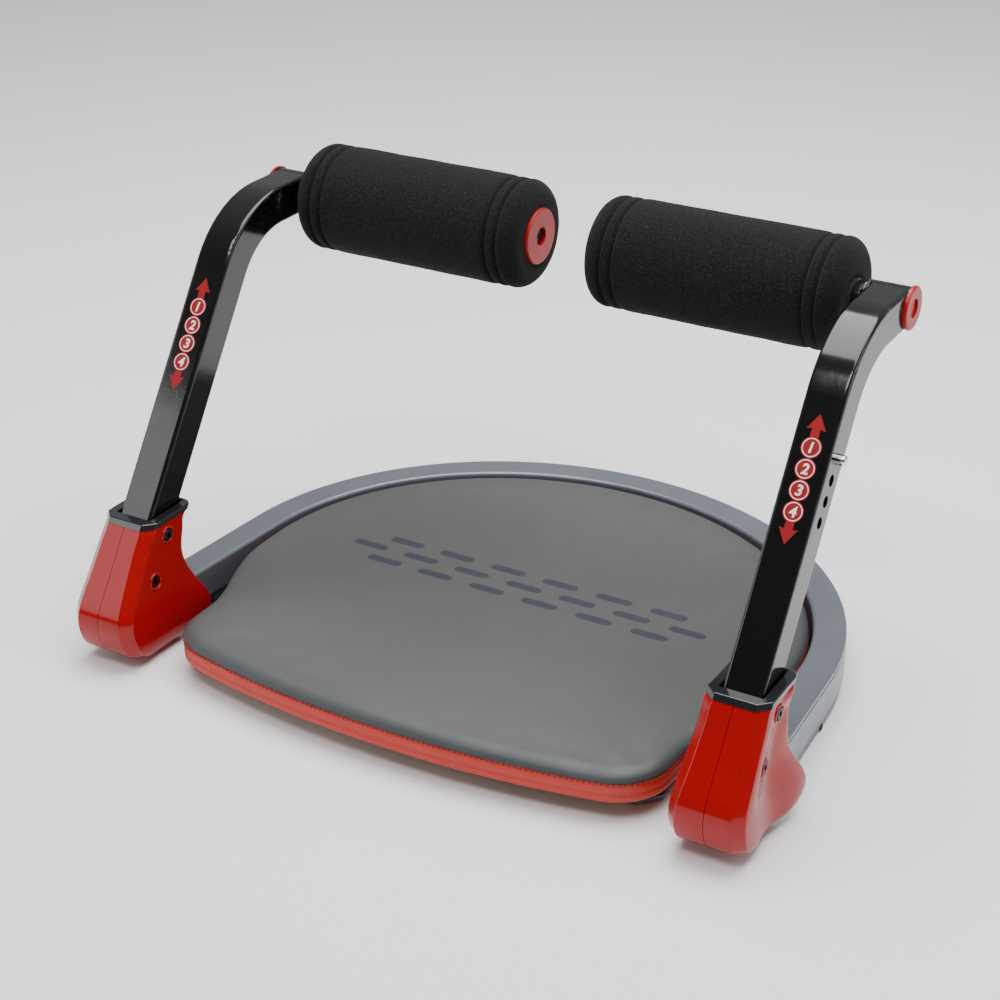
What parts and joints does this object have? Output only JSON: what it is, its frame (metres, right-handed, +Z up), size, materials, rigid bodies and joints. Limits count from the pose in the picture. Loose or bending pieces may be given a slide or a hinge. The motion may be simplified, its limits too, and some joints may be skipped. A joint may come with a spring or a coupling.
{
  "type": "ab crunch machine",
  "caption": "Floor exercise machine: low ring base with padded seat, sprung swing arms with sliding height adjustment and foam back rollers.",
  "frame": {"origin": "on the floor, under the middle of the bounding box", "axes": "+Z up, +Y towards the back of the machine (the rollers' side), +X to the right seen from the front; the machine is symmetric about X = 0"},
  "size_m": [0.5822, 0.448, 0.3525],
  "materials": {
    "base_plastic": "satin moulded",
    "tray_plastic": "matt moulded",
    "boot_plastic": "glossy moulded",
    "black_gloss_plastic": "glossy moulded",
    "red_plastic": "satin moulded",
    "arm_paint": "gloss powder coat",
    "bare_steel": "zinc plated",
    "black_steel": "black oxide",
    "button_chrome": "polished",
    "roller_foam": "fine closed-cell foam",
    "core_plastic": "plain",
    "foot_rubber": "matt",
    "seat_vinyl": "grained vinyl",
    "seat_trim": "grained vinyl with stitching",
    "board_wood": "plywood",
    "bush_polymer": "natural acetal",
    "label_print": "printed label"
  },
  "bodies": {
    "base": {"base_ring_shell": "base_plastic", "base_tray": "tray_plastic", "frame_tube": "black_steel", "cross_beam": "black_steel", "rubber_feet": "foot_rubber", "shell_screws": "black_steel", "seat_screws": "black_steel", "seat_board": "board_wood", "seat_pad": "seat_vinyl", "pivot_nuts": "bare_steel", "pivot_block_left": "black_steel", "pivot_pin_left": "bare_steel", "torsion_spring_left": "bare_steel", "pivot_block_right": "black_steel", "pivot_pin_right": "bare_steel", "torsion_spring_right": "bare_steel"},
    "swing_arm_left": {"yoke_left": "black_steel", "yoke_bushes_left": "bush_polymer", "inner_tube_left": "bare_steel", "boot_inner_half_left": "boot_plastic", "boot_outer_half_left": "boot_plastic", "boot_screws_left": "black_steel", "boot_collar_left": "black_gloss_plastic"},
    "sliding_arm_left": {"arm_tube_left": "arm_paint", "axle_sleeve_left": "arm_paint", "roller_axle_left": "bare_steel", "axle_bolt_left": "bare_steel", "axle_washer_left": "black_gloss_plastic", "end_plug_left": "red_plastic"},
    "button_left": {"snap_button_left": "button_chrome", "button_spring_left": "bare_steel"},
    "roller_left": {"foam_roller_left": "roller_foam", "roller_core_left": "core_plastic", "roller_cap_left": "red_plastic"},
    "swing_arm_right": {"yoke_right": "black_steel", "yoke_bushes_right": "bush_polymer", "inner_tube_right": "bare_steel", "boot_inner_half_right": "boot_plastic", "boot_outer_half_right": "boot_plastic", "boot_screws_right": "black_steel", "boot_collar_right": "black_gloss_plastic"},
    "sliding_arm_right": {"arm_tube_right": "arm_paint", "axle_sleeve_right": "arm_paint", "roller_axle_right": "bare_steel", "axle_bolt_right": "bare_steel", "axle_washer_right": "black_gloss_plastic", "end_plug_right": "red_plastic"},
    "button_right": {"snap_button_right": "button_chrome", "button_spring_right": "bare_steel"},
    "roller_right": {"foam_roller_right": "roller_foam", "roller_core_right": "core_plastic", "roller_cap_right": "red_plastic"}
  },
  "joints": [
    {"name": "arm_swing_left", "type": "hinge", "parent": "base", "child": "swing_arm_left", "pos_m": [-0.2575, -0.153, 0.028], "axis": [-1, 0, 0], "range_deg": [0, 35], "stiffness_Nm_per_rad": 25, "springref_deg": -17.19},
    {"name": "height_slide_left", "type": "slide", "parent": "swing_arm_left", "child": "sliding_arm_left", "axis": [0, 0.5592, 0.829], "range_m": [0, 0.045]},
    {"name": "button_press_left", "type": "slide", "parent": "sliding_arm_left", "child": "button_left", "axis": [1, 0, 0], "range_m": [0, 0.006], "stiffness_N_per_m": 600, "springref_m": -0.003},
    {"name": "roller_spin_left", "type": "hinge", "parent": "sliding_arm_left", "child": "roller_left", "pos_m": [-0.13, 0.066, 0.3095], "axis": [1, 0, 0], "continuous": true},
    {"name": "arm_swing_right", "type": "hinge", "parent": "base", "child": "swing_arm_right", "pos_m": [0.2575, -0.153, 0.028], "axis": [-1, 0, 0], "range_deg": [0, 35], "stiffness_Nm_per_rad": 25, "springref_deg": -17.19},
    {"name": "height_slide_right", "type": "slide", "parent": "swing_arm_right", "child": "sliding_arm_right", "axis": [0, 0.5592, 0.829], "range_m": [0, 0.045]},
    {"name": "button_press_right", "type": "slide", "parent": "sliding_arm_right", "child": "button_right", "axis": [-1, 0, 0], "range_m": [0, 0.006], "stiffness_N_per_m": 600, "springref_m": -0.003},
    {"name": "roller_spin_right", "type": "hinge", "parent": "sliding_arm_right", "child": "roller_right", "pos_m": [0.13, 0.066, 0.3095], "axis": [1, 0, 0], "continuous": true}
  ]
}
